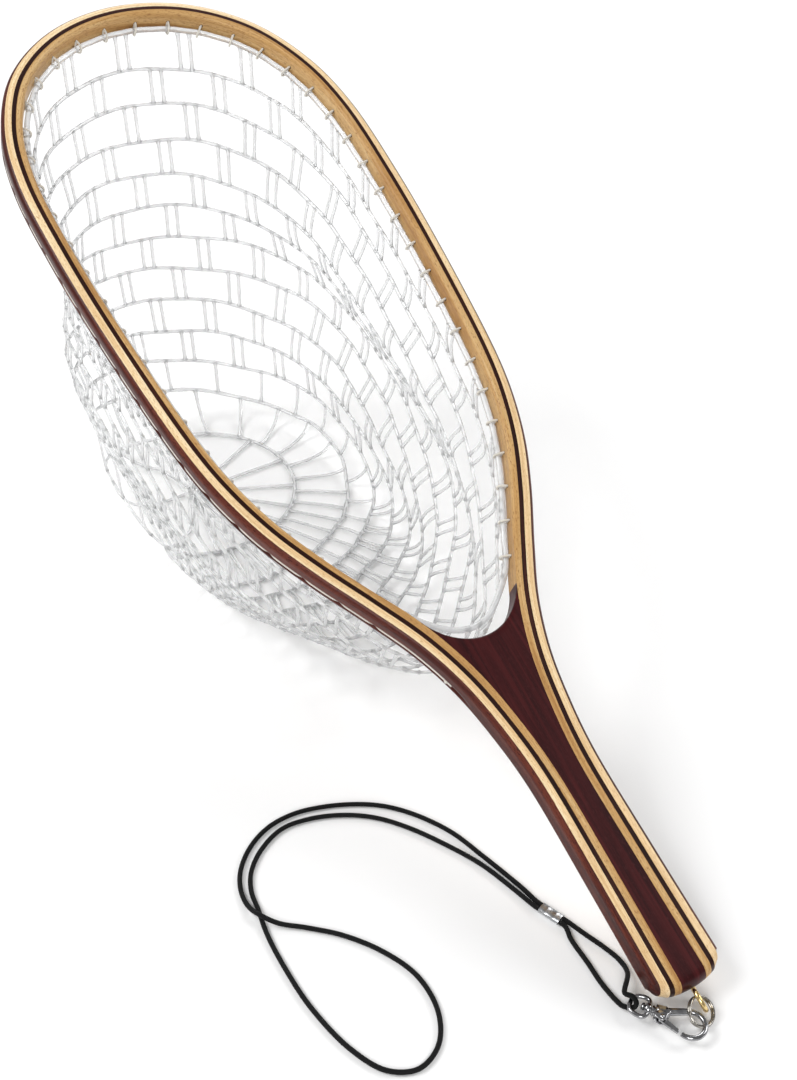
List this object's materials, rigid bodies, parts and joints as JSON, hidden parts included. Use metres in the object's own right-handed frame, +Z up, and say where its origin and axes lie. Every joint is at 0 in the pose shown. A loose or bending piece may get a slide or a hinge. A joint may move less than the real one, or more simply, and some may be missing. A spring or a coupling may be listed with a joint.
{
  "type": "landing net",
  "caption": "Wooden landing net with a laminated teardrop hoop, a clear rubber net bag, a rosewood-cored handle, a swivel snap and a wrist lanyard.",
  "frame": {"origin": "bottom centre of the net as it lies on a table, midway between the snap and the hoop's tip", "axes": "+Z up from the table, +Y from the handle towards the hoop's tip, +X to the right across the hoop; the hoop's plane rises 25 degrees towards its tip because the bag stands under it"},
  "size_m": [0.2345, 0.5427, 0.2565],
  "materials": {
    "dark_wood": "satin lacquer",
    "cream_wood": "satin lacquer",
    "tan_wood": "satin lacquer",
    "rosewood": "satin lacquer, speckled grain",
    "clear_rubber": "clear moulded rubber, soft gloss",
    "white_cord": "whitish monofilament",
    "black_cord": "braided, matt",
    "brass": "bright plated",
    "nickel": "bright nickel",
    "chrome": "bright chrome",
    "crimp_metal": "bright, lightly marked"
  },
  "bodies": {
    "frame": {"outer_dark_ply": "dark_wood", "cream_ply": "cream_wood", "middle_dark_ply": "dark_wood", "tan_ply": "tan_wood", "handle_core": "rosewood", "lacing_cord": "white_cord", "net_rim_bead": "clear_rubber", "net_bag": "clear_rubber", "screw_eye": "brass"},
    "ring": {"split_ring": "nickel"},
    "snap": {"snap_body": "chrome", "gate_pin": "chrome", "gate_spring": "nickel", "swivel_rivet": "chrome", "lanyard_crimp": "crimp_metal", "lanyard_wrist_loop": "black_cord", "lanyard_under_strand": "black_cord", "lanyard_over_strand": "black_cord", "lanyard_bight": "black_cord"},
    "gate": {"snap_gate": "chrome"},
    "swivel": {"swivel_eye": "chrome"}
  },
  "joints": [
    {"name": "ring_swing", "type": "hinge", "parent": "frame", "child": "ring", "pos_m": [0, -0.26192, 0.00355], "axis": [0, 0, 1], "range_deg": [-3, 20]},
    {"name": "snap_swing", "type": "hinge", "parent": "ring", "child": "snap", "pos_m": [-0.0011, -0.26656, 0.0047], "axis": [0, 0, 1], "range_deg": [-3, 3]},
    {"name": "gate_hinge", "type": "hinge", "parent": "snap", "child": "gate", "pos_m": [-0.01852, -0.25605, 0.0047], "axis": [0, 0, 1], "range_deg": [0, 35], "stiffness_Nm_per_rad": 0.004, "springref_deg": -11.46},
    {"name": "swivel_turn", "type": "hinge", "parent": "snap", "child": "swivel", "pos_m": [-0.02008, -0.24989, 0.0047], "axis": [0.5519, -0.8339, 0], "continuous": true, "deforming": ["lanyard_bight", "lanyard_under_strand", "lanyard_over_strand"]}
  ]
}
